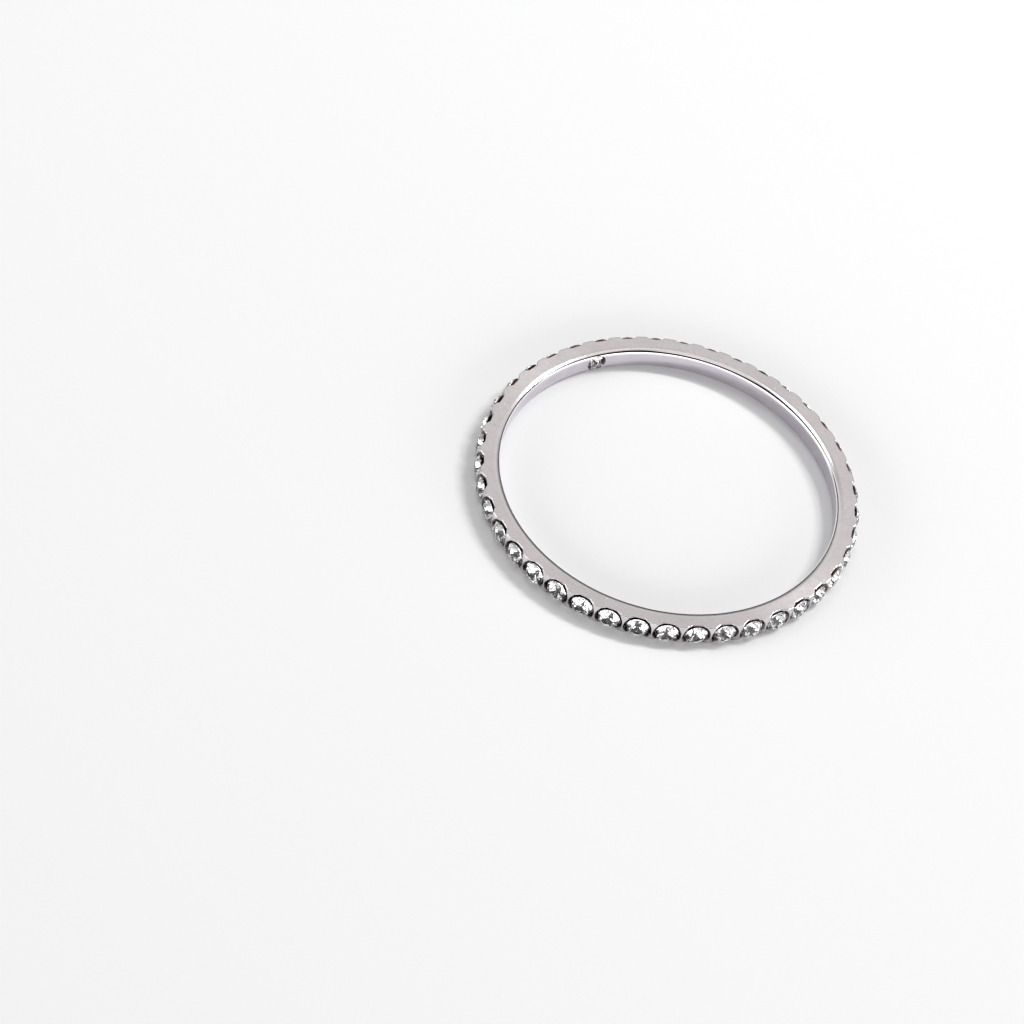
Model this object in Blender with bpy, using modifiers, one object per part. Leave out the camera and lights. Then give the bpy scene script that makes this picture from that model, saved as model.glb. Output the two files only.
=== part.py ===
"""A stackable eternity ring: a narrow silver-tone band with flat side faces and a scalloped outside,
one row of small round stones all the way round, each in a cup in its own scallop, and a smaller stone
set in the inner wall. The ring lies on one side face, its axis along +Z, and the origin is the middle
of that face."""

import math

import bmesh
import bpy

# Driving sizes, in metres
INNER_DIAMETER = 0.0173
BAND_WIDTH = 0.00116
BAND_THICKNESS = 0.00112
STONE_COUNT = 41
STONE_DIAMETER = 0.00114
INNER_STONE_DIAMETER = 0.0008

# Section of the band: its outside is slightly domed, and its side faces roll over towards the finger
DOME_RISE = 0.00006
OUTER_CHAMFER = 0.00003
INNER_ROLL_ACROSS = 0.00013
INNER_ROLL_DOWN = 0.00013

# Scallops across the outside, one for each stone
SCALLOP_RADIUS = 0.00094
SCALLOP_FACETS = 32

# Cups that hold the stones, as deep at their ledge as the scallops
CUP_RIM_RADIUS = 0.00073
CUP_WALL_DEPTH = 0.00026
INNER_CUP_RIM_RADIUS = 0.0005
INNER_CUP_WALL_DEPTH = 0.00019
STONE_CLEARANCE = 0.00003
CUP_OVERCUT = 0.0001

# How far a table stands above the top of the dome, and how far the inner one lies under the inner wall
TABLE_STAND = 0.00009
INNER_TABLE_RECESS = 0.00001

# The inner stone's place, in pitches of the row of stones, from the first stone
INNER_STONE_PITCHES = 17.4

# Proportions of the cut, as shares of a stone's diameter, and how often its facets repeat
TABLE_SHARE = 0.56
CROWN_SHARE = 0.165
GIRDLE_SHARE = 0.035
PAVILION_SHARE = 0.43
STAR_RADIUS_SHARE = 0.39
LOWER_HALF_RADIUS_SHARE = 0.13
FOLDS = 8

# Fineness
BAND_FACETS_PER_STONE = 4
DOME_STEPS = 2
ROLL_STEPS = 2
CUP_FACETS = 16
MERGE_DISTANCE = 0.000001
SHARP_ANGLE = math.radians(25)

# Worked out from the driving sizes
INNER_RADIUS = INNER_DIAMETER / 2
OUTER_RADIUS = INNER_RADIUS + BAND_THICKNESS
MID_HEIGHT = BAND_WIDTH / 2
PITCH = math.tau / STONE_COUNT
BAND_FACETS = STONE_COUNT * BAND_FACETS_PER_STONE


def table_height(diameter):
    """Height of a stone's table above the middle of its girdle."""
    return (CROWN_SHARE + GIRDLE_SHARE / 2) * diameter


STONE_RADIUS_ON_RING = OUTER_RADIUS + TABLE_STAND - table_height(STONE_DIAMETER)
INNER_STONE_RADIUS_ON_RING = INNER_RADIUS + INNER_TABLE_RECESS + table_height(INNER_STONE_DIAMETER)


def clear_scene():
    for obj in list(bpy.data.objects):
        bpy.data.objects.remove(obj, do_unlink=True)


def new_collection(name):
    collection = bpy.data.collections.new(name)
    bpy.context.scene.collection.children.link(collection)
    return collection


def new_material(name, colour, metallic, roughness, transmission=0.0, ior=1.5):
    material = bpy.data.materials.new(name)
    material.use_nodes = True
    shader = material.node_tree.nodes["Principled BSDF"]
    shader.inputs["Base Color"].default_value = (*colour, 1.0)
    shader.inputs["Metallic"].default_value = metallic
    shader.inputs["Roughness"].default_value = roughness
    shader.inputs["Transmission Weight"].default_value = transmission
    shader.inputs["IOR"].default_value = ior
    return material


def new_object(name, mesh, collection, parent):
    obj = bpy.data.objects.new(name, mesh)
    obj.parent = parent
    collection.objects.link(obj)
    return obj


def profile_mesh(name, points, closed):
    """A half outline in the XZ plane, given as (radius, height), ready to be turned about Z."""
    edges = [(start, start + 1) for start in range(len(points) - 1)]
    if closed:
        edges.append((len(points) - 1, 0))
    mesh = bpy.data.meshes.new(name)
    mesh.from_pydata([(radius, 0.0, height) for radius, height in points], edges, [])
    return mesh


def add_turning(obj, steps):
    screw = obj.modifiers.new("Turning", "SCREW")
    screw.axis = "Z"
    screw.angle = math.tau
    screw.steps = steps
    screw.render_steps = steps
    screw.use_merge_vertices = True
    screw.merge_threshold = MERGE_DISTANCE


def apply_modifiers(obj):
    """The shape that the modifiers give becomes the object's own mesh."""
    graph = bpy.context.evaluated_depsgraph_get()
    mesh = bpy.data.meshes.new_from_object(obj.evaluated_get(graph))
    mesh.name = obj.name
    obj.modifiers.clear()
    obj.data = mesh


def shade_round(mesh):
    mesh.shade_smooth()
    mesh.set_sharp_from_angle(angle=SHARP_ANGLE)


def quarter_roll(centre, start_angle):
    """Points of a quarter ellipse, running clockwise from start_angle."""
    points = []
    for step in range(ROLL_STEPS + 1):
        angle = start_angle - math.pi / 2 * step / ROLL_STEPS
        radius = centre[0] + INNER_ROLL_ACROSS * math.cos(angle)
        height = centre[1] + INNER_ROLL_DOWN * math.sin(angle)
        points.append((radius, height))
    return points


def dome():
    """Points down the domed outside, from one chamfer to the other."""
    points = []
    for step in range(DOME_STEPS + 1):
        share = 1.0 - 2.0 * step / DOME_STEPS
        height = MID_HEIGHT + share * (MID_HEIGHT - OUTER_CHAMFER)
        points.append((OUTER_RADIUS - DOME_RISE * share**2, height))
    return points


def band_profile():
    """The band's section: down the outer side, in under the bottom, up the inner wall."""
    chamfer_radius = OUTER_RADIUS - DOME_RISE - OUTER_CHAMFER
    roll_radius = INNER_RADIUS + INNER_ROLL_ACROSS
    outer = [(chamfer_radius, BAND_WIDTH)] + dome() + [(chamfer_radius, 0.0)]
    bottom_roll = quarter_roll((roll_radius, INNER_ROLL_DOWN), -math.pi / 2)
    top_roll = quarter_roll((roll_radius, BAND_WIDTH - INNER_ROLL_DOWN), math.pi)
    return outer + bottom_roll + top_roll


def cup_profile(diameter, rim_radius, rim_height, wall_depth):
    """The hollow for one stone: a flared wall round the girdle, a ledge, and a cone under the pavilion."""
    stone_radius = diameter / 2
    wall_radius = stone_radius + STONE_CLEARANCE
    ledge_height = rim_height - wall_depth
    flare = (rim_radius - wall_radius) / wall_depth
    girdle_bottom = -GIRDLE_SHARE * diameter / 2
    pavilion_slope = PAVILION_SHARE * diameter / stone_radius
    cone_radius = stone_radius - (girdle_bottom - ledge_height) / pavilion_slope + STONE_CLEARANCE
    return [
        (0.0, rim_height + CUP_OVERCUT),
        (rim_radius + flare * CUP_OVERCUT, rim_height + CUP_OVERCUT),
        (wall_radius, ledge_height),
        (cone_radius, ledge_height),
        (0.0, ledge_height - cone_radius * pavilion_slope),
    ]


def place_on_ring(obj, angle, radius, facing_out=True):
    """Stands an object's own Z along the ring's radius, halfway up the band."""
    tilt = math.pi / 2 if facing_out else -math.pi / 2
    obj.location = (radius * math.cos(angle), radius * math.sin(angle), MID_HEIGHT)
    obj.rotation_euler = (0.0, tilt, angle)


def polygon_ring(bm, count, radius, height, turn=0.0):
    """A ring of vertices, turned by a share of one step."""
    ring = []
    for index in range(count):
        angle = math.tau * (index + turn) / count
        ring.append(bm.verts.new((radius * math.cos(angle), radius * math.sin(angle), height)))
    return ring


def brilliant_mesh(name, diameter):
    """A round brilliant about Z, the middle of its girdle at the origin."""
    radius = diameter / 2
    half_girdle = GIRDLE_SHARE * diameter / 2
    crown_height = CROWN_SHARE * diameter
    pavilion_depth = PAVILION_SHARE * diameter
    table_radius = TABLE_SHARE * diameter / 2
    star_radius = STAR_RADIUS_SHARE * diameter
    lower_radius = LOWER_HALF_RADIUS_SHARE * diameter
    half_fold_cosine = math.cos(math.pi / FOLDS)
    # Heights that keep each kite and each main flat
    star_drop = (star_radius * half_fold_cosine - table_radius) / (radius - table_radius)
    star_height = half_girdle + crown_height * (1.0 - star_drop)
    lower_height = -half_girdle - pavilion_depth * (1.0 - lower_radius * half_fold_cosine / radius)

    bm = bmesh.new()
    table = polygon_ring(bm, FOLDS, table_radius, half_girdle + crown_height)
    stars = polygon_ring(bm, FOLDS, star_radius, star_height, turn=0.5)
    upper = polygon_ring(bm, 2 * FOLDS, radius, half_girdle)
    lower = polygon_ring(bm, 2 * FOLDS, radius, -half_girdle)
    halves = polygon_ring(bm, FOLDS, lower_radius, lower_height, turn=0.5)
    culet = bm.verts.new((0.0, 0.0, -half_girdle - pavilion_depth))

    bm.faces.new(table)
    for fold in range(FOLDS):
        after = (fold + 1) % FOLDS
        corner = 2 * fold
        middle = corner + 1
        end = 2 * after
        bm.faces.new((table[fold], stars[fold], table[after]))
        bm.faces.new((table[fold], stars[fold - 1], upper[corner], stars[fold]))
        bm.faces.new((stars[fold], upper[corner], upper[middle]))
        bm.faces.new((stars[fold], upper[middle], upper[end]))
        bm.faces.new((upper[corner], lower[corner], lower[middle], upper[middle]))
        bm.faces.new((upper[middle], lower[middle], lower[end], upper[end]))
        bm.faces.new((halves[fold], lower[middle], lower[corner]))
        bm.faces.new((halves[fold], lower[end], lower[middle]))
        bm.faces.new((culet, halves[fold], lower[corner], halves[fold - 1]))
    bmesh.ops.recalc_face_normals(bm, faces=bm.faces)

    mesh = bpy.data.meshes.new(name)
    bm.to_mesh(mesh)
    bm.free()
    return mesh


def mark_as_cutter(obj):
    obj.hide_render = True
    obj.display_type = "WIRE"


def build_scallops(cutters, parent):
    """Upright cylinders that cut a shallow trough across the outside at each stone."""
    bm = bmesh.new()
    bmesh.ops.create_cone(
        bm,
        cap_ends=True,
        segments=SCALLOP_FACETS,
        radius1=SCALLOP_RADIUS,
        radius2=SCALLOP_RADIUS,
        depth=BAND_WIDTH + 2 * CUP_OVERCUT,
    )
    mesh = bpy.data.meshes.new("scallop")
    bm.to_mesh(mesh)
    bm.free()
    axis_radius = OUTER_RADIUS - CUP_WALL_DEPTH + SCALLOP_RADIUS
    for index in range(STONE_COUNT):
        angle = index * PITCH
        scallop = new_object(f"scallop_{index + 1:02d}", mesh, cutters, parent)
        scallop.location = (axis_radius * math.cos(angle), axis_radius * math.sin(angle), MID_HEIGHT)
        scallop.rotation_euler.z = angle
        mark_as_cutter(scallop)


def build_cups(cutters, parent):
    """One cutter for each stone of the row, and one for the stone in the inner wall."""
    rim_height = OUTER_RADIUS - STONE_RADIUS_ON_RING
    row_profile = cup_profile(STONE_DIAMETER, CUP_RIM_RADIUS, rim_height, CUP_WALL_DEPTH)
    row_mesh = profile_mesh("cup", row_profile, False)
    cups = []
    for index in range(STONE_COUNT):
        cup = new_object(f"cup_{index + 1:02d}", row_mesh, cutters, parent)
        place_on_ring(cup, index * PITCH, STONE_RADIUS_ON_RING)
        cups.append(cup)

    inner_rim_height = INNER_STONE_RADIUS_ON_RING - INNER_RADIUS
    inner_profile = cup_profile(
        INNER_STONE_DIAMETER, INNER_CUP_RIM_RADIUS, inner_rim_height, INNER_CUP_WALL_DEPTH
    )
    inner_cup = new_object("inner_cup", profile_mesh("inner_cup", inner_profile, False), cutters, parent)
    place_on_ring(inner_cup, INNER_STONE_PITCHES * PITCH, INNER_STONE_RADIUS_ON_RING, facing_out=False)
    cups.append(inner_cup)

    for cup in cups:
        add_turning(cup, CUP_FACETS)
        mark_as_cutter(cup)


def build_band(parts, cutters, parent, metal):
    """The band, turned from its section and cut by every scallop and cup."""
    band = new_object("band", profile_mesh("band", band_profile(), True), parts, parent)
    add_turning(band, BAND_FACETS)
    # Half a facet on, so that the facets' edges pass beside the corners of the cups
    band.rotation_euler.z = math.pi / BAND_FACETS
    boolean = band.modifiers.new("Scallops and cups", "BOOLEAN")
    boolean.operation = "DIFFERENCE"
    boolean.solver = "EXACT"
    boolean.operand_type = "COLLECTION"
    boolean.collection = cutters
    apply_modifiers(band)
    band.data.materials.append(metal)
    shade_round(band.data)


def build_stones(parts, parent, crystal):
    """The row of stones, which share one mesh, and the stone in the inner wall."""
    row_mesh = brilliant_mesh("round_stone", STONE_DIAMETER)
    row_mesh.materials.append(crystal)
    for index in range(STONE_COUNT):
        stone = new_object(f"stone_{index + 1:02d}", row_mesh, parts, parent)
        place_on_ring(stone, index * PITCH, STONE_RADIUS_ON_RING)

    inner_mesh = brilliant_mesh("inner_round_stone", INNER_STONE_DIAMETER)
    inner_mesh.materials.append(crystal)
    inner_stone = new_object("inner_stone", inner_mesh, parts, parent)
    place_on_ring(inner_stone, INNER_STONE_PITCHES * PITCH, INNER_STONE_RADIUS_ON_RING, facing_out=False)


def main():
    clear_scene()
    parts = new_collection("stackable_ring")
    cutters = new_collection("cutters")
    metal = new_material("silver_metal", (0.60, 0.58, 0.58), metallic=1.0, roughness=0.28)
    crystal = new_material("crystal", (0.95, 0.95, 0.95), metallic=0.0, roughness=0.03, transmission=1.0)

    origin = bpy.data.objects.new("ring_origin", None)
    parts.objects.link(origin)
    build_scallops(cutters, origin)
    build_cups(cutters, origin)
    build_band(parts, cutters, origin, metal)
    build_stones(parts, origin, crystal)


main()
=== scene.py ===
import math
import random

import bmesh
import bpy
import numpy as np
from mathutils import Euler, Matrix, Quaternion, Vector


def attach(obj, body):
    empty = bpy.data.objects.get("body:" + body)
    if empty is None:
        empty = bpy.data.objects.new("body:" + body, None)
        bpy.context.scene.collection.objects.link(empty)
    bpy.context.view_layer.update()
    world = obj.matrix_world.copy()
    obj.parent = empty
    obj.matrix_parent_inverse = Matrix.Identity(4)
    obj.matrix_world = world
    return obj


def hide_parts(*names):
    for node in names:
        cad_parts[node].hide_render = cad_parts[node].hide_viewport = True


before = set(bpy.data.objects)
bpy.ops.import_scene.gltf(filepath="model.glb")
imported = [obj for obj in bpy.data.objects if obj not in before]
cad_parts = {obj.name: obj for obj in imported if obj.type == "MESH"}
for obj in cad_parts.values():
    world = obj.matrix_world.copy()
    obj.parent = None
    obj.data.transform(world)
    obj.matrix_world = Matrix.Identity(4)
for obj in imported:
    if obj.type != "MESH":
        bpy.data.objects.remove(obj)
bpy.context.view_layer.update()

# Sizes of the ring, in metres, as in the CAD source
INNER_RADIUS = 0.00865
OUTER_RADIUS = 0.00977
BAND_WIDTH = 0.00116
MID_HEIGHT = BAND_WIDTH / 2
STONE_COUNT = 41
STONE_DIAMETER = 0.00114
INNER_STONE_DIAMETER = 0.0008
DOME_RISE = 0.00006
OUTER_CHAMFER = 0.00003
SCALLOP_RADIUS = 0.00094
CUP_RIM_RADIUS = 0.00073
CUP_WALL_DEPTH = 0.00026
INNER_CUP_RIM_RADIUS = 0.0005
INNER_CUP_WALL_DEPTH = 0.00019
STONE_CLEARANCE = 0.00003
TABLE_STAND = 0.00009
INNER_TABLE_RECESS = 0.00001
INNER_STONE_PITCHES = 17.4
TABLE_SHARE = 0.56
CROWN_SHARE = 0.165
GIRDLE_SHARE = 0.035
PAVILION_SHARE = 0.43
STAR_RADIUS_SHARE = 0.39
LOWER_HALF_RADIUS_SHARE = 0.13
FOLDS = 8
PITCH = math.tau / STONE_COUNT


def table_height(diameter):
    """Height of a stone's table above the middle of its girdle."""
    return (CROWN_SHARE + GIRDLE_SHARE / 2) * diameter


STONE_SEAT = OUTER_RADIUS + TABLE_STAND - table_height(STONE_DIAMETER)
INNER_STONE_SEAT = INNER_RADIUS + INNER_TABLE_RECESS + table_height(INNER_STONE_DIAMETER)


# Camera: where the ring's upper face lies before the camera, and how that face is tilted and turned
FOCAL_PIXELS = 5000.0
FRAME_PIXELS = 1024.0
SENSOR_WIDTH = 36.0
NEAR_CLIP = 0.01
FACE_TILT = math.radians(42.20)
FACE_ROLL = math.radians(15.54)
FACE_TURN = math.radians(132.43)
RING_CENTRE = np.array([0.9174, -0.1918, 29.1033]) * INNER_RADIUS


def photo_camera():
    """The camera's place and axes (right, up, back) in the ring's frame."""
    normal = np.array([
        math.sin(FACE_TILT) * math.sin(FACE_ROLL),
        -math.sin(FACE_TILT) * math.cos(FACE_ROLL),
        -math.cos(FACE_TILT),
    ])
    across = np.cross([0.0, 1.0, 0.0], normal)
    across /= np.linalg.norm(across)
    ring_axes = np.stack([across, np.cross(normal, across), normal], -1)
    cosine, sine = math.cos(FACE_TURN), math.sin(FACE_TURN)
    turn = np.array([[cosine, sine, 0.0], [-sine, cosine, 0.0], [0.0, 0.0, 1.0]])
    place = turn @ (-ring_axes.T @ RING_CENTRE) + [0.0, 0.0, BAND_WIDTH]
    axes = turn @ ring_axes.T @ np.diag([1.0, -1.0, -1.0])
    return place, axes


CAMERA_PLACE, CAMERA_AXES = photo_camera()
CAMERA_AZIMUTH = math.atan2(CAMERA_PLACE[1], CAMERA_PLACE[0])


def build_camera():
    data = bpy.data.cameras.new("camera")
    data.sensor_width = SENSOR_WIDTH
    data.lens = FOCAL_PIXELS / FRAME_PIXELS * SENSOR_WIDTH
    data.clip_start = NEAR_CLIP
    camera = bpy.data.objects.new("camera", data)
    matrix = Matrix(CAMERA_AXES.tolist()).to_4x4()
    matrix.translation = Vector(CAMERA_PLACE)
    camera.matrix_world = matrix
    bpy.context.scene.collection.objects.link(camera)
    bpy.context.scene.camera = camera


# Band: one cell of the outside, one pitch long, is built for every stone
FILLET = 0.000045
CREASE = 0.00002
WALL_RADIUS = STONE_DIAMETER / 2 + STONE_CLEARANCE
LEDGE_HEIGHT = OUTER_RADIUS - CUP_WALL_DEPTH
WALL_SLOPE = CUP_WALL_DEPTH / (CUP_RIM_RADIUS - WALL_RADIUS)
PAVILION_SLOPE = 2 * PAVILION_SHARE
CONE_RADIUS = (
    STONE_DIAMETER / 2
    - (STONE_SEAT - GIRDLE_SHARE * STONE_DIAMETER / 2 - LEDGE_HEIGHT) / PAVILION_SLOPE
    + STONE_CLEARANCE
)
EDGE_HEIGHT = MID_HEIGHT - FILLET
FILLET_STEPS = 4
EASE_ACROSS = 0.00022
EASE_SLOPE = math.radians(20)
EASE_STEPS = 5
ROLL_ACROSS = 0.00012
ROLL_STEPS = 10

# Mesh steps of a cell: rings of points round the cup, and the longest steps along and down its rim
RING_RADII = [
    0.00025, CONE_RADIUS, 0.00053, 0.000565, 0.000585, 0.0006, 0.000615, 0.00065, 0.00069, 0.000708,
    0.00072, 0.00073, 0.00074, 0.00078, 0.00083, 0.00088,
]
RIM_STEP_ALONG = 0.00004
RIM_STEP_DOWN = 0.00006
SMALLEST_STEP = 0.00001
WIDTH_ROUNDS = 12
CROSSING_ROUNDS = 20
COLUMN_STEP = 3
SUPPORT = 0.00002
SLOPE_STEP = 0.000001
LEVEL_TOLERANCE = 0.000001
ANGLE_TOLERANCE = 0.00001
MERGE_DISTANCE = 0.0000003
SHARP_ANGLE = math.radians(35)
CUTTER_SIDES = 96
CUTTER_OVERSHOOT = 0.0001

# The scallops are cut deepest at one place of the ring and shallowest opposite, where the ledge in
# each cup stands higher and the edges are softer
DEEPEST_SCALLOP = math.radians(-90.404)
SHALLOW_SCALLOP = 0.25
SCALLOP_FADE_START = -0.4
SCALLOP_FADE_SPAN = 0.6
LEDGE_LIFT = 0.0001
CREASE_GROWTH = 0.00004

POLISHED, SATIN, CUP, ROLL, WALL = range(5)


def soft_min(a, b, width):
    """The smaller of two heights, with the crease between them rounded."""
    mix = np.clip(0.5 + 0.5 * (b - a) / width, 0.0, 1.0)
    return b + (a - b) * mix - width * mix * (1.0 - mix)


def outer_height(x, z, depth=1.0):
    """Distance of the outside from the ring's axis, measured along the axis of the cell's cup."""
    x, z = np.asarray(x, float), np.asarray(z, float)
    rho = np.hypot(x, z)
    dome_radius = OUTER_RADIUS - DOME_RISE * (z / (MID_HEIGHT - OUTER_CHAMFER)) ** 2
    dome = np.sqrt(dome_radius**2 - x**2)
    scallop = LEDGE_HEIGHT + SCALLOP_RADIUS - np.sqrt(SCALLOP_RADIUS**2 - x**2)
    cone = LEDGE_HEIGHT - (CONE_RADIUS - rho) * PAVILION_SLOPE
    floor = np.minimum(cone, LEDGE_HEIGHT + LEDGE_LIFT * (1.0 - depth))
    wall = LEDGE_HEIGHT + (rho - WALL_RADIUS) * WALL_SLOPE
    cup = -soft_min(-floor, -wall, CREASE / 2)
    scalloped = dome + (soft_min(dome, scallop, CREASE) - dome) * depth
    return soft_min(scalloped, cup, CREASE + CREASE_GROWTH * (1.0 - depth))


def cell_edge(z):
    """Half the cell's width at a height across the band, found in rounds."""
    x = OUTER_RADIUS * math.tan(PITCH / 2)
    for _ in range(WIDTH_ROUNDS):
        x = float(outer_height(x, z)) * math.tan(PITCH / 2)
    return x


def fill(marks, longest):
    """Adds points between marks so that no step is much longer than asked."""
    found = [marks[0]]
    for start, end in zip(marks, marks[1:]):
        parts = max(1, round((end - start) / longest))
        found += [start + (end - start) * part / parts for part in range(1, parts + 1)]
    return found


def quadrant_rim():
    """Rim points of a quarter of the cell, from the upper edge's middle to the side's middle."""
    corner = cell_edge(EDGE_HEIGHT)
    crossing = [math.sqrt(r**2 - EDGE_HEIGHT**2) for r in RING_RADII if EDGE_HEIGHT < r]
    crossing = [x for x in crossing if x < corner - SMALLEST_STEP]
    along = fill([0.0] + crossing + [corner], RIM_STEP_ALONG)
    while (len(along) - 1) % COLUMN_STEP:
        gaps = [b - a for a, b in zip(along, along[1:])]
        widest = gaps.index(max(gaps))
        along.insert(widest + 1, (along[widest] + along[widest + 1]) / 2)
    down = []
    for r in RING_RADII:
        z = 0.0
        for _ in range(CROSSING_ROUNDS):
            under = r**2 - cell_edge(z) ** 2
            if under <= 0.0:
                break
            z = math.sqrt(under)
        else:
            if z < EDGE_HEIGHT - SMALLEST_STEP:
                down.append(z)
    heights = fill([0.0] + sorted(down) + [EDGE_HEIGHT], RIM_STEP_DOWN)[:-1]
    side = [(cell_edge(z), z) for z in reversed(heights)]
    return [(x, EDGE_HEIGHT) for x in along] + side, len(along)


class Builder:
    """Collects the vertices and faces of one mesh."""

    def __init__(self):
        self.points = []
        self.faces = []
        self.kinds = []

    def point(self, x, y, z):
        self.points.append((x, y, z))
        return len(self.points) - 1

    def face(self, corners, kind):
        distinct = [c for n, c in enumerate(corners) if c != corners[n - 1]]
        if len(distinct) > 2:
            self.faces.append(distinct)
            self.kinds.append(kind)


def rim_points():
    """The cell's whole rim, once round, and the number of points of its upper edge."""
    quarter, top_count = quadrant_rim()
    right = quarter + [(x, -z) for x, z in reversed(quarter[:-1])]
    left = [(-x, z) for x, z in reversed(right[1:-1])]
    return right + left, top_count


def build_cell(cell, depth):
    """The outside of one pitch, the fillets along its edges, both side faces and the inner wall."""
    rim, top_count = rim_points()
    radii = [math.hypot(x, z) for x, z in rim]
    centre = cell.point(0.0, float(outer_height(0.0, 0.0, depth)), 0.0)
    rays = []
    for (x, z), reach in zip(rim, radii):
        levels = [r for r in RING_RADII if r < reach - LEVEL_TOLERANCE] + [reach]
        scale = np.array(levels) / reach
        heights = outer_height(x * scale, z * scale, depth)
        rays.append([centre] + [cell.point(x * s, h, z * s) for s, h in zip(scale, heights)])
    cup_levels = sum(r < CUP_RIM_RADIUS for r in RING_RADII)
    for index, ray in enumerate(rays):
        after = rays[(index + 1) % len(rays)]
        short, long = sorted((ray, after), key=len)
        for level in range(len(short) - 1):
            kind = CUP if level < cup_levels else POLISHED
            cell.face((ray[level], ray[level + 1], after[level + 1], after[level]), kind)
        for level in range(len(short) - 1, len(long) - 1):
            cell.face((short[-1], long[level], long[level + 1]), POLISHED)

    # Upper edge, left to right, and its mirror on the lower side
    count = top_count - 1
    total = len(rim)
    upper = [rays[index % total] for index in range(-count, count + 1)]
    lower_start = total // 2
    lower = [rays[lower_start - index] for index in range(-count, count + 1)]
    for side, edge in ((1.0, upper), (-1.0, lower)):
        build_side(cell, side, [ray[-1] for ray in edge], depth)


def inner_section():
    """Radius, height and finish, from the side face, which eases down, over the roll to the wall."""
    ease_end = INNER_RADIUS + ROLL_ACROSS
    section = [(ease_end + EASE_ACROSS + SUPPORT, MID_HEIGHT, SATIN)]
    for step in range(EASE_STEPS + 1):
        share = step / EASE_STEPS
        drop = EASE_ACROSS * math.tan(EASE_SLOPE) * share**2 / 2
        section.append((ease_end + EASE_ACROSS * (1.0 - share), MID_HEIGHT - drop, SATIN))
    ease_height = section[-1][1]
    roll_radius = ROLL_ACROSS / (1.0 - math.sin(EASE_SLOPE))
    for step in range(1, ROLL_STEPS + 1):
        angle = EASE_SLOPE + (math.pi / 2 - EASE_SLOPE) * step / ROLL_STEPS
        section.append((
            ease_end - roll_radius * (math.sin(angle) - math.sin(EASE_SLOPE)),
            ease_height - roll_radius * (math.cos(EASE_SLOPE) - math.cos(angle)),
            ROLL,
        ))
    section.append((INNER_RADIUS, section[-1][1] - SUPPORT, WALL))
    section.append((INNER_RADIUS, 0.0, WALL))
    return section


def build_side(cell, side, edge, depth):
    """From the outside's edge over the fillet, the side face and the roll to the wall's middle."""
    start = [cell.points[index] for index in edge]
    slopes = []
    for x, y, z in start:
        rise = float(outer_height(x + SLOPE_STEP, z, depth) - outer_height(x - SLOPE_STEP, z, depth))
        slope = rise / (2 * SLOPE_STEP)
        if abs(abs(math.atan2(x, y)) - PITCH / 2) < ANGLE_TOLERANCE:
            slope = -x / y
        length = math.hypot(slope, 1.0)
        slopes.append((-slope / length, 1.0 / length))
    rows = [edge]
    for step in range(1, FILLET_STEPS + 1):
        angle = math.pi / 2 * step / FILLET_STEPS
        back = FILLET * (1.0 - math.cos(angle))
        rise = FILLET * math.sin(angle)
        rows.append([
            cell.point(x - nx * back, y - ny * back, z + side * rise)
            for (x, y, z), (nx, ny) in zip(start, slopes)
        ])
    for lower, upper in zip(rows, rows[1:]):
        for n in range(len(edge) - 1):
            cell.face((lower[n], upper[n], upper[n + 1], lower[n + 1]), POLISHED)

    # Only every third point of the edge goes on across the side face
    columns = list(range(0, len(edge), COLUMN_STEP))
    last = rows[-1]
    back = FILLET + SUPPORT
    inset = []
    for n in columns:
        (x, y, z), (nx, ny) = start[n], slopes[n]
        inset.append(cell.point(x - nx * back, y - ny * back, side * MID_HEIGHT))
    for c, n in enumerate(columns[:-1]):
        outer = [last[n + k] for k in range(COLUMN_STEP + 1)]
        cell.face(outer + [inset[c + 1], inset[c]], SATIN)

    angles = [math.atan2(start[n][0], start[n][1]) for n in columns]
    before = inset
    for radius, height, kind in inner_section():
        # The lower roll keeps the wall's colour; only the upper roll carries the brighter colour of the
        # painted reflection
        if kind == ROLL and side < 0.0:
            kind = WALL
        row = [cell.point(radius * math.sin(a), radius * math.cos(a), side * height) for a in angles]
        for n in range(len(row) - 1):
            cell.face((before[n], row[n], row[n + 1], before[n + 1]), kind)
        before = row


def apply_modifiers(obj):
    """Keeps the shape that the object's modifiers give as its own mesh."""
    graph = bpy.context.evaluated_depsgraph_get()
    mesh = bpy.data.meshes.new_from_object(obj.evaluated_get(graph))
    obj.modifiers.clear()
    obj.data = mesh


def new_piece(name, mesh):
    """A piece of the ring, attached to the root body."""
    obj = bpy.data.objects.new(name, mesh)
    bpy.context.scene.collection.objects.link(obj)
    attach(obj, "root")
    return obj


def ring_matrix(angle, radius, facing_out=True):
    """An object's own Z along the ring's radius, halfway up the band."""
    tilt = math.pi / 2 if facing_out else -math.pi / 2
    matrix = Euler((0.0, tilt, angle)).to_matrix().to_4x4()
    matrix.translation = (radius * math.cos(angle), radius * math.sin(angle), MID_HEIGHT)
    return matrix


def polygon_ring(bm, count, radius, height, turn=0.0):
    """The corners of a level polygon about Z, turned by a share of its step."""
    ring = []
    for index in range(count):
        angle = math.tau * (index + turn) / count
        ring.append(bm.verts.new((radius * math.cos(angle), radius * math.sin(angle), height)))
    return ring


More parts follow.
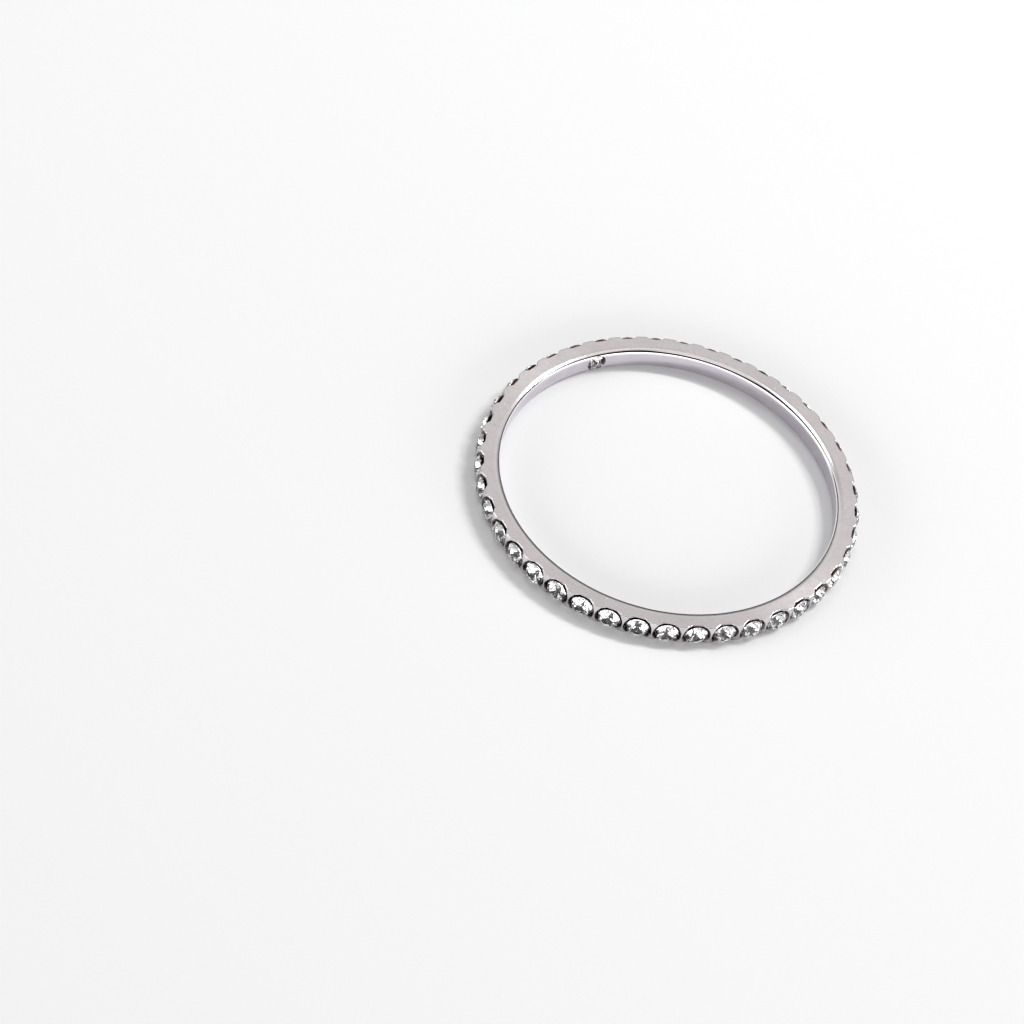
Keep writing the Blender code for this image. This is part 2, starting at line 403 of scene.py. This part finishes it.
def inner_cup_cutter():
    """A turned cutter for the cup in the inner wall: a flared wall, a ledge and a cone below it."""
    rim_height = INNER_STONE_SEAT - INNER_RADIUS
    wall_radius = INNER_STONE_DIAMETER / 2 + STONE_CLEARANCE
    ledge = rim_height - INNER_CUP_WALL_DEPTH
    flare = (INNER_CUP_RIM_RADIUS - wall_radius) / INNER_CUP_WALL_DEPTH
    slope = 2 * PAVILION_SHARE
    girdle_bottom = -GIRDLE_SHARE * INNER_STONE_DIAMETER / 2
    cone_radius = INNER_STONE_DIAMETER / 2 - (girdle_bottom - ledge) / slope + STONE_CLEARANCE
    top = rim_height + CUTTER_OVERSHOOT
    profile = [
        (0.0, top),
        (INNER_CUP_RIM_RADIUS + flare * CUTTER_OVERSHOOT, top),
        (wall_radius, ledge),
        (cone_radius, ledge),
        (0.0, ledge - cone_radius * slope),
    ]
    bm = bmesh.new()
    rings = []
    for radius, height in profile:
        if radius == 0.0:
            rings.append([bm.verts.new((0.0, 0.0, height))] * CUTTER_SIDES)
        else:
            rings.append(polygon_ring(bm, CUTTER_SIDES, radius, height))
    for upper, lower in zip(rings, rings[1:]):
        for k in range(CUTTER_SIDES):
            after = (k + 1) % CUTTER_SIDES
            corners = [upper[k], upper[after], lower[after], lower[k]]
            bm.faces.new(list(dict.fromkeys(corners)))
    bmesh.ops.recalc_face_normals(bm, faces=bm.faces)
    mesh = bpy.data.meshes.new("inner_cup")
    bm.to_mesh(mesh)
    bm.free()
    cutter = bpy.data.objects.new("inner_cup", mesh)
    bpy.context.scene.collection.objects.link(cutter)
    cutter.matrix_world = ring_matrix(INNER_STONE_PITCHES * PITCH, INNER_STONE_SEAT, facing_out=False)
    return cutter


def scallop_depth(angle):
    """The share of its full depth to which the scallop at an angle round the ring is cut."""
    facing = math.cos(angle - DEEPEST_SCALLOP)
    mix = min(max((facing - SCALLOP_FADE_START) / SCALLOP_FADE_SPAN, 0.0), 1.0)
    return SHALLOW_SCALLOP + (1.0 - SHALLOW_SCALLOP) * mix * mix * (3.0 - 2.0 * mix)


def build_band(materials):
    """The whole band: a cell for each stone, merged, and the cup cut into the inner wall."""
    places, faces, kinds = [], [], []
    offset = 0
    for index in range(STONE_COUNT):
        angle = index * PITCH
        cell = Builder()
        build_cell(cell, scallop_depth(angle))
        points = np.array(cell.points)
        x = points[:, 1] * math.cos(angle) - points[:, 0] * math.sin(angle)
        y = points[:, 1] * math.sin(angle) + points[:, 0] * math.cos(angle)
        z = points[:, 2] + MID_HEIGHT
        places.append(np.stack([x, y, z], 1))
        faces += [[corner + offset for corner in face] for face in cell.faces]
        kinds += cell.kinds
        offset += len(points)
    mesh = bpy.data.meshes.new("band_metal")
    mesh.from_pydata(np.concatenate(places).tolist(), [], faces)
    for material in materials:
        mesh.materials.append(material)
    mesh.polygons.foreach_set("material_index", kinds)
    bm = bmesh.new()
    bm.from_mesh(mesh)
    bmesh.ops.remove_doubles(bm, verts=bm.verts, dist=MERGE_DISTANCE)
    bmesh.ops.recalc_face_normals(bm, faces=bm.faces)
    bm.to_mesh(mesh)
    bm.free()
    band = new_piece("band_metal", mesh)
    cutter = inner_cup_cutter()
    cutter.data.materials.append(materials[CUP])
    boolean = band.modifiers.new("Inner cup", "BOOLEAN")
    boolean.operation = "DIFFERENCE"
    boolean.solver = "EXACT"
    boolean.object = cutter
    boolean.material_mode = "TRANSFER"
    apply_modifiers(band)
    bpy.data.objects.remove(cutter)
    band.data.shade_smooth()
    band.data.set_sharp_from_angle(angle=SHARP_ANGLE)
    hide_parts("band")


# Stones: each has a mirror foil on its pavilion and a thin coat of lacquer round that
FOIL, LACQUER = 1, 2
LACQUER_GAP = 0.000003
LACQUER_OUTSIDE = 0.00001
STONE_SEED = 7
ASKEW_DEGREES = 1.6


def lacquer_shell(bm, radius, half_girdle, lower_radius, lower_height, tip_height):
    """A thin closed coat of lacquer round the foil of a stone's pavilion."""
    slope = math.atan(2 * PAVILION_SHARE)
    layers = []
    for distance in (LACQUER_GAP, LACQUER_OUTSIDE):
        out = distance * math.sin(slope)
        down = distance * math.cos(slope)
        rim = polygon_ring(bm, 2 * FOLDS, radius + out, -half_girdle - down)
        halves = polygon_ring(bm, FOLDS, lower_radius + out, lower_height - down, turn=0.5)
        tip = bm.verts.new((0.0, 0.0, tip_height - distance / math.cos(slope)))
        layers.append(rim)
        for fold in range(FOLDS):
            corner, middle = rim[2 * fold], rim[2 * fold + 1]
            end = rim[(2 * fold + 2) % len(rim)]
            for corners in (
                (halves[fold], middle, corner),
                (halves[fold], end, middle),
                (tip, halves[fold], corner, halves[fold - 1]),
            ):
                bm.faces.new(corners).material_index = LACQUER
    inner, outer = layers
    for index in range(len(inner)):
        corners = (inner[index - 1], inner[index], outer[index], outer[index - 1])
        bm.faces.new(corners).material_index = LACQUER


def brilliant_mesh(name, diameter, materials):
    """A round brilliant about Z, the middle of its girdle at the origin, with foil on its pavilion."""
    radius = diameter / 2
    half_girdle = GIRDLE_SHARE * diameter / 2
    crown_height = CROWN_SHARE * diameter
    pavilion_depth = PAVILION_SHARE * diameter
    table_radius = TABLE_SHARE * diameter / 2
    star_radius = STAR_RADIUS_SHARE * diameter
    lower_radius = LOWER_HALF_RADIUS_SHARE * diameter
    half_fold_cosine = math.cos(math.pi / FOLDS)
    star_drop = (star_radius * half_fold_cosine - table_radius) / (radius - table_radius)
    star_height = half_girdle + crown_height * (1.0 - star_drop)
    lower_height = -half_girdle - pavilion_depth * (1.0 - lower_radius * half_fold_cosine / radius)

    bm = bmesh.new()
    table = polygon_ring(bm, FOLDS, table_radius, half_girdle + crown_height)
    stars = polygon_ring(bm, FOLDS, star_radius, star_height, turn=0.5)
    upper = polygon_ring(bm, 2 * FOLDS, radius, half_girdle)
    lower = polygon_ring(bm, 2 * FOLDS, radius, -half_girdle)
    halves = polygon_ring(bm, FOLDS, lower_radius, lower_height, turn=0.5)
    culet = bm.verts.new((0.0, 0.0, -half_girdle - pavilion_depth))

    bm.faces.new(table)
    for fold in range(FOLDS):
        after = (fold + 1) % FOLDS
        corner = 2 * fold
        middle = corner + 1
        end = 2 * after
        bm.faces.new((table[fold], stars[fold], table[after]))
        bm.faces.new((table[fold], stars[fold - 1], upper[corner], stars[fold]))
        bm.faces.new((stars[fold], upper[corner], upper[middle]))
        bm.faces.new((stars[fold], upper[middle], upper[end]))
        bm.faces.new((upper[corner], lower[corner], lower[middle], upper[middle]))
        bm.faces.new((upper[middle], lower[middle], lower[end], upper[end]))
        for corners in (
            (halves[fold], lower[middle], lower[corner]),
            (halves[fold], lower[end], lower[middle]),
            (culet, halves[fold], lower[corner], halves[fold - 1]),
        ):
            bm.faces.new(corners).material_index = FOIL
    lacquer_shell(bm, radius, half_girdle, lower_radius, lower_height, -half_girdle - pavilion_depth)
    bmesh.ops.recalc_face_normals(bm, faces=bm.faces)
    mesh = bpy.data.meshes.new(name)
    bm.to_mesh(mesh)
    bm.free()
    for material in materials:
        mesh.materials.append(material)
    return mesh


def build_stones(materials):
    """Each stone is turned by its own amount in its cup, and sits very slightly askew."""
    draw = random.Random(STONE_SEED)
    row_mesh = brilliant_mesh("round_stone", STONE_DIAMETER, materials)
    for index in range(STONE_COUNT):
        turn = Euler((
            math.radians(draw.gauss(0.0, ASKEW_DEGREES)),
            math.radians(draw.gauss(0.0, ASKEW_DEGREES)),
            draw.uniform(0.0, math.tau / FOLDS),
        ))
        mesh = row_mesh.copy()
        mesh.transform(ring_matrix(index * PITCH, STONE_SEAT) @ turn.to_matrix().to_4x4())
        stone = new_piece(f"brilliant_{index + 1:02d}", mesh)
        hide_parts(f"stone_{index + 1:02d}")
    mesh = brilliant_mesh("inner_round_stone", INNER_STONE_DIAMETER, materials)
    mesh.transform(ring_matrix(INNER_STONE_PITCHES * PITCH, INNER_STONE_SEAT, facing_out=False))
    stone = new_piece("inner_brilliant", mesh)
    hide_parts("inner_stone")


# Materials: pattern scales are counted for each metre

def set_stops(ramp, stops):
    """A stop is a position and a colour, or a position and a grey."""
    elements = ramp.color_ramp.elements
    while len(elements) < len(stops):
        elements.new(0.5)
    for element, (position, colour) in zip(elements, stops):
        grey = (colour, colour, colour)
        element.position = position
        element.color = (*(colour if isinstance(colour, tuple) else grey), 1.0)


class Tree:
    """Short calls for building a material's nodes."""

    def __init__(self, name):
        self.material = bpy.data.materials.new(name)
        self.material.use_nodes = True
        self.nodes = self.material.node_tree.nodes
        self.links = self.material.node_tree.links
        self.shader = self.nodes["Principled BSDF"]
        self.coordinates = self.nodes.new("ShaderNodeTexCoord").outputs["Object"]

    def set(self, **values):
        for name, value in values.items():
            self.shader.inputs[name.replace("_", " ")].default_value = value

    def noise(self, scale, detail=3.0, roughness=0.5):
        noise = self.nodes.new("ShaderNodeTexNoise")
        noise.inputs["Scale"].default_value = scale
        noise.inputs["Detail"].default_value = detail
        noise.inputs["Roughness"].default_value = roughness
        self.links.new(self.coordinates, noise.inputs["Vector"])
        return noise.outputs["Fac"]

    def polar(self, across, along):
        """Coordinates that follow circles round the ring's axis, stretched across and along them."""
        separate = self.nodes.new("ShaderNodeSeparateXYZ")
        self.links.new(self.coordinates, separate.inputs["Vector"])
        x, y = separate.outputs["X"], separate.outputs["Y"]
        squares = self.math("ADD", self.math("MULTIPLY", x, x), self.math("MULTIPLY", y, y))
        radius = self.math("SQRT", squares)
        angle = self.math("ARCTAN2", y, x)
        combine = self.nodes.new("ShaderNodeCombineXYZ")
        self.links.new(self.math("MULTIPLY", radius, across), combine.inputs["X"])
        self.links.new(self.math("MULTIPLY", angle, along), combine.inputs["Y"])
        return combine.outputs["Vector"]

    def math(self, operation, *values):
        node = self.nodes.new("ShaderNodeMath")
        node.operation = operation
        for value, socket in zip(values, node.inputs):
            if isinstance(value, (int, float)):
                socket.default_value = value
            else:
                self.links.new(value, socket)
        return node.outputs["Value"]

    def streaks(self, across, along):
        """Noise drawn out along circles round the ring's axis."""
        noise = self.nodes.new("ShaderNodeTexNoise")
        noise.inputs["Scale"].default_value = 1.0
        noise.inputs["Detail"].default_value = 3.0
        self.links.new(self.polar(across, along), noise.inputs["Vector"])
        return noise.outputs["Fac"]

    def scratches(self, scale, width):
        """Thin curved lines, 1 on a line and 0 elsewhere."""
        bend = self.nodes.new("ShaderNodeTexNoise")
        bend.inputs["Scale"].default_value = scale * 1.3
        bend.inputs["Detail"].default_value = 1.0
        self.links.new(self.coordinates, bend.inputs["Vector"])
        shift = self.nodes.new("ShaderNodeVectorMath")
        shift.operation = "MULTIPLY_ADD"
        self.links.new(bend.outputs["Color"], shift.inputs[0])
        shift.inputs[1].default_value = (1.8 / scale, 1.8 / scale, 0.0)
        self.links.new(self.coordinates, shift.inputs[2])
        cells = self.nodes.new("ShaderNodeTexVoronoi")
        cells.voronoi_dimensions = "2D"
        cells.feature = "DISTANCE_TO_EDGE"
        cells.inputs["Scale"].default_value = scale
        self.links.new(shift.outputs["Vector"], cells.inputs["Vector"])
        return self.ramp(cells.outputs["Distance"], [(0.0, 1.0), (width, 0.0)])

    def specks(self, scale, size, share):
        """Small dots, 1 on a dot and 0 elsewhere, in a share of the cells."""
        cells = self.nodes.new("ShaderNodeTexVoronoi")
        cells.voronoi_dimensions = "2D"
        cells.inputs["Scale"].default_value = scale
        self.links.new(self.coordinates, cells.inputs["Vector"])
        dot = self.ramp(cells.outputs["Distance"], [(size * 0.6, 1.0), (size, 0.0)])
        separate = self.nodes.new("ShaderNodeSeparateColor")
        self.links.new(cells.outputs["Color"], separate.inputs["Color"])
        chosen = self.math("LESS_THAN", separate.outputs["Red"], share)
        return self.math("MULTIPLY", dot, chosen)

    def brushed(self, strength):
        """Highlights are drawn out across the circles that the brushing follows."""
        tangent = self.nodes.new("ShaderNodeTangent")
        tangent.direction_type = "RADIAL"
        tangent.axis = "Z"
        self.links.new(tangent.outputs["Tangent"], self.shader.inputs["Tangent"])
        self.set(Anisotropic=strength, Anisotropic_Rotation=0.25)

    def ramp(self, value, stops):
        node = self.nodes.new("ShaderNodeValToRGB")
        set_stops(node, stops)
        self.links.new(value, node.inputs["Fac"])
        return node.outputs["Color"]

    def bump(self, value, strength, distance):
        node = self.nodes.new("ShaderNodeBump")
        node.inputs["Strength"].default_value = strength
        node.inputs["Distance"].default_value = distance
        self.links.new(value, node.inputs["Height"])
        self.links.new(node.outputs["Normal"], self.shader.inputs["Normal"])


def satin_material():
    """Satin side faces: fine circular brushing, soft mottling, thin scratches and a few small raised
    specks, painted nearly white as glints.
    """
    tree = Tree("satin_silver")
    tree.set(Metallic=1.0)
    tree.brushed(0.8)
    mottle = tree.noise(800.0, 5.0, 0.6)
    brushing = tree.streaks(16000.0, 22.0)
    patch = tree.ramp(tree.noise(260.0, 1.0), [(0.48, 0.0), (0.6, 1.0)])
    scratch = tree.math("MULTIPLY", tree.scratches(1300.0, 0.035), patch)
    # Painted glints: the specks are small bumps whose colour is lifted nearly to white
    glint_speck = tree.specks(1900.0, 0.07, 0.06)
    level = tree.math("ADD", tree.math("MULTIPLY", mottle, 0.4), tree.math("MULTIPLY", brushing, 0.2))
    level = tree.math("ADD", level, tree.math("MULTIPLY", tree.noise(300.0, 2.0), 0.2))
    level = tree.math("ADD", level, tree.math("MULTIPLY", tree.noise(6000.0, 2.0), 0.2))
    level = tree.math("SUBTRACT", level, tree.math("MULTIPLY", scratch, 0.22))
    level = tree.math("ADD", level, tree.math("MULTIPLY", glint_speck, 0.6))
    colour = tree.ramp(level, [
        (0.25, (0.62, 0.57, 0.575)), (0.5, (0.70, 0.65, 0.655)), (0.72, (0.76, 0.715, 0.72)),
        (0.95, (0.98, 0.97, 0.96)),
    ])
    tree.links.new(colour, tree.shader.inputs["Base Color"])
    rough = tree.ramp(tree.noise(3500.0, 4.0), [(0.3, 0.135), (0.7, 0.165)])
    tree.links.new(rough, tree.shader.inputs["Roughness"])
    height = tree.math("ADD", tree.noise(9000.0, 3.0), tree.math("MULTIPLY", brushing, 1.2))
    height = tree.math("SUBTRACT", height, tree.math("MULTIPLY", scratch, 0.3))
    height = tree.math("ADD", height, tree.math("MULTIPLY", glint_speck, 2.0))
    tree.bump(height, 0.15, 0.00001)
    return tree.material


def metal_material(name, colour, finish, dents):
    """A metal. Colour and finish have a scale, a detail and stops, and dents a strength and a depth."""
    tree = Tree(name)
    tree.set(Metallic=1.0)
    scale, detail, stops = colour
    tree.links.new(tree.ramp(tree.noise(scale, detail), stops), tree.shader.inputs["Base Color"])
    scale, detail, stops = finish
    tree.links.new(tree.ramp(tree.noise(scale, detail), stops), tree.shader.inputs["Roughness"])
    scale, detail, strength, depth = dents
    tree.bump(tree.noise(scale, detail), strength, depth)
    return tree.material


def polished_material():
    """The domed outside, the scallops and the rounded outer edges."""
    return metal_material(
        "polished_silver",
        colour=(1500.0, 3.0, [(0.3, (0.60, 0.56, 0.59)), (0.7, (0.76, 0.73, 0.75))]),
        finish=(2500.0, 3.0, [(0.3, 0.05), (0.7, 0.13)]),
        dents=(3000.0, 2.0, 0.25, 0.00001),
    )


def roll_material():
    """The polished roll between the upper side face and the inner wall, with a painted reflection: its
    colour is much brighter than the same metal on the wall and on the lower roll.
    """
    return metal_material(
        "roll_painted_reflection",
        colour=(1500.0, 3.0, [(0.3, (0.86, 0.85, 0.86)), (0.7, (0.96, 0.95, 0.96))]),
        finish=(2500.0, 3.0, [(0.3, 0.03), (0.7, 0.06)]),
        dents=(2600.0, 2.0, 0.15, 0.00001),
    )


def wall_material():
    """The inner wall, a little softer and faintly lavender."""
    return metal_material(
        "wall_silver",
        colour=(900.0, 3.0, [(0.3, (0.62, 0.58, 0.64)), (0.7, (0.69, 0.65, 0.71))]),
        finish=(2500.0, 3.0, [(0.3, 0.16), (0.7, 0.24)]),
        dents=(2600.0, 2.0, 0.15, 0.00001),
    )


def cup_material():
    """The cups round the stones, with painted shade: the metal is darkened nearly to black in patches
    down in the hollows.
    """
    return metal_material(
        "cup_silver_painted_shade",
        colour=(2500.0, 4.0, [(0.4, (0.07, 0.05, 0.05)), (0.68, (0.60, 0.57, 0.57))]),
        finish=(5000.0, 3.0, [(0.3, 0.1), (0.7, 0.3)]),
        dents=(6000.0, 3.0, 0.4, 0.00002),
    )


def crystal_material():
    """Clear glass, its facets polished with faintly worn patches."""
    tree = Tree("clear_crystal")
    tree.set(Metallic=0.0, IOR=1.56, Transmission_Weight=1.0)
    rough = tree.ramp(tree.noise(1800.0, 3.0), [(0.4, 0.0), (0.75, 0.02)])
    tree.links.new(rough, tree.shader.inputs["Roughness"])
    colour = tree.ramp(tree.noise(1200.0, 2.0), [(0.35, (0.97, 0.97, 0.98)), (0.7, (1.0, 1.0, 1.0))])
    tree.links.new(colour, tree.shader.inputs["Base Color"])
    return tree.material


def foil_material():
    """The mirror foil behind a stone."""
    tree = Tree("foil")
    tree.set(Metallic=1.0)
    colour = tree.ramp(tree.noise(2200.0, 2.0), [(0.3, (0.93, 0.92, 0.93)), (0.6, (1.0, 0.99, 1.0))])
    tree.links.new(colour, tree.shader.inputs["Base Color"])
    rough = tree.ramp(tree.noise(3000.0, 2.0), [(0.3, 0.0), (0.7, 0.015)])
    tree.links.new(rough, tree.shader.inputs["Roughness"])
    return tree.material


# The lacquer shows its own bronze where the ring is at this angle; opposite it is painted nearly black
# as painted shade in the gaps round the stones, and mixed in between
BRONZE_UNSHADED_SIDE = math.radians(114.6)
SIDE_SHADE_SHARE = 0.08


def lacquer_and_shade_material():
    """The lacquer over the foil, which shows at the rims of the stones, darkened nearly to black on one
    side of the ring as painted shade.
    """
    tree = Tree("bronze_lacquer_painted_shade")
    tree.set(Metallic=0.6)
    side = Vector((math.cos(BRONZE_UNSHADED_SIDE), math.sin(BRONZE_UNSHADED_SIDE), 0.0))
    place = tree.nodes.new("ShaderNodeVectorMath")
    place.operation = "DOT_PRODUCT"
    tree.links.new(tree.coordinates, place.inputs[0])
    place.inputs[1].default_value = side / OUTER_RADIUS
    # Painted shade: on the side of the ring away from the bronze side, the lacquer is pushed towards
    # near-black
    shift = tree.math("MULTIPLY", place.outputs["Value"], SIDE_SHADE_SHARE)
    level = tree.math("ADD", tree.noise(320.0, 3.0), shift)
    colour = tree.ramp(level, [(0.5, (0.012, 0.008, 0.007)), (0.66, (0.34, 0.11, 0.05))])
    tree.links.new(colour, tree.shader.inputs["Base Color"])
    rough = tree.ramp(tree.noise(3000.0, 2.0), [(0.3, 0.2), (0.7, 0.4)])
    tree.links.new(rough, tree.shader.inputs["Roughness"])
    return tree.material


# Stage: a pale floor in a room. The room's brightness is listed by height, from 0 for level to 1 for
# overhead, for the side beyond the ring and for the camera's side. The two blend between two shares of
# a direction towards the camera
FLOOR_HALF = 0.6
LIGHT_DISTANCE = 0.5
FAR_SIDE = [
    (0.0, 0.02), (0.3, 0.04), (0.5, 0.4), (0.62, 0.84), (0.71, 0.93), (0.78, 0.56), (0.82, 0.6),
    (0.86, 1.1), (1.0, 1.1),
]
NEAR_SIDE = [
    (0.0, 0.02), (0.03, 0.05), (0.06, 2.7), (0.4, 2.7), (0.45, 0.01), (0.97, 0.01), (0.983, 1.0),
]
BLEND_START = -0.3
BLEND_END = 0.0


def build_floor():
    corners = [
        (-FLOOR_HALF, -FLOOR_HALF, 0.0),
        (FLOOR_HALF, -FLOOR_HALF, 0.0),
        (FLOOR_HALF, FLOOR_HALF, 0.0),
        (-FLOOR_HALF, FLOOR_HALF, 0.0),
    ]
    mesh = bpy.data.meshes.new("floor")
    mesh.from_pydata(corners, [], [(0, 1, 2, 3)])
    tree = Tree("floor_paper")
    tree.set(Roughness=0.9, Specular_IOR_Level=0.1, Base_Color=(0.9, 0.9, 0.9, 1.0))
    mesh.materials.append(tree.material)
    floor = bpy.data.objects.new("floor", mesh)
    bpy.context.scene.collection.objects.link(floor)


def direction_from(azimuth, elevation):
    """Degrees: azimuth counted on the floor from the camera's side towards the picture's right."""
    turn = CAMERA_AZIMUTH + math.radians(azimuth)
    lift = math.radians(elevation)
    return Vector((math.cos(turn) * math.cos(lift), math.sin(turn) * math.cos(lift), math.sin(lift)))


def area_light(name, azimuth, elevation, size, radiance, roll=0.0):
    """A soft box that faces the ring. Its brightness, and its size in metres, are those of its face."""
    direction = direction_from(azimuth, elevation)
    data = bpy.data.lights.new(name, "AREA")
    data.shape = "RECTANGLE"
    data.size, data.size_y = size
    data.energy = math.pi * radiance * size[0] * size[1]
    light = bpy.data.objects.new(name, data)
    light.location = direction * LIGHT_DISTANCE
    light.rotation_mode = "QUATERNION"
    light.rotation_quaternion = (
        direction.to_track_quat("Z", "Y") @ Quaternion((0.0, 0.0, 1.0), math.radians(roll))
    )
    bpy.context.scene.collection.objects.link(light)


def build_world():
    """Dark when level and pale higher up; on the camera's side a low bright window, dark above it."""
    world = bpy.data.worlds.new("studio")
    bpy.context.scene.world = world
    world.use_nodes = True
    nodes, links = world.node_tree.nodes, world.node_tree.links
    coordinates = nodes.new("ShaderNodeTexCoord").outputs["Generated"]
    separate = nodes.new("ShaderNodeSeparateXYZ")
    links.new(coordinates, separate.inputs["Vector"])

    def heights(stops):
        ramp = nodes.new("ShaderNodeValToRGB")
        set_stops(ramp, stops)
        links.new(separate.outputs["Z"], ramp.inputs["Fac"])
        return ramp.outputs["Color"]

    far, near = heights(FAR_SIDE), heights(NEAR_SIDE)
    towards = nodes.new("ShaderNodeVectorMath")
    towards.operation = "DOT_PRODUCT"
    links.new(coordinates, towards.inputs[0])
    towards.inputs[1].default_value = direction_from(0.0, 0.0)
    share = nodes.new("ShaderNodeMapRange")
    share.interpolation_type = "SMOOTHSTEP"
    share.inputs["From Min"].default_value = BLEND_START
    share.inputs["From Max"].default_value = BLEND_END
    links.new(towards.outputs["Value"], share.inputs["Value"])
    room = nodes.new("ShaderNodeMix")
    room.data_type = "RGBA"
    links.new(share.outputs["Result"], room.inputs["Factor"])
    links.new(far, room.inputs["A"])
    links.new(near, room.inputs["B"])
    links.new(room.outputs["Result"], nodes["Background"].inputs["Color"])


def main():
    build_camera()
    build_band([
        polished_material(), satin_material(), cup_material(), roll_material(), wall_material(),
    ])
    build_stones([crystal_material(), foil_material(), lacquer_and_shade_material()])
    build_floor()
    build_world()
    area_light("key", azimuth=137.0, elevation=50.0, size=(0.2, 0.055), radiance=41.0, roll=40.0)
    area_light("left_back", azimuth=-145.0, elevation=62.0, size=(0.12, 0.12), radiance=4.0)
    bpy.context.scene.view_settings.view_transform = "Standard"


main()
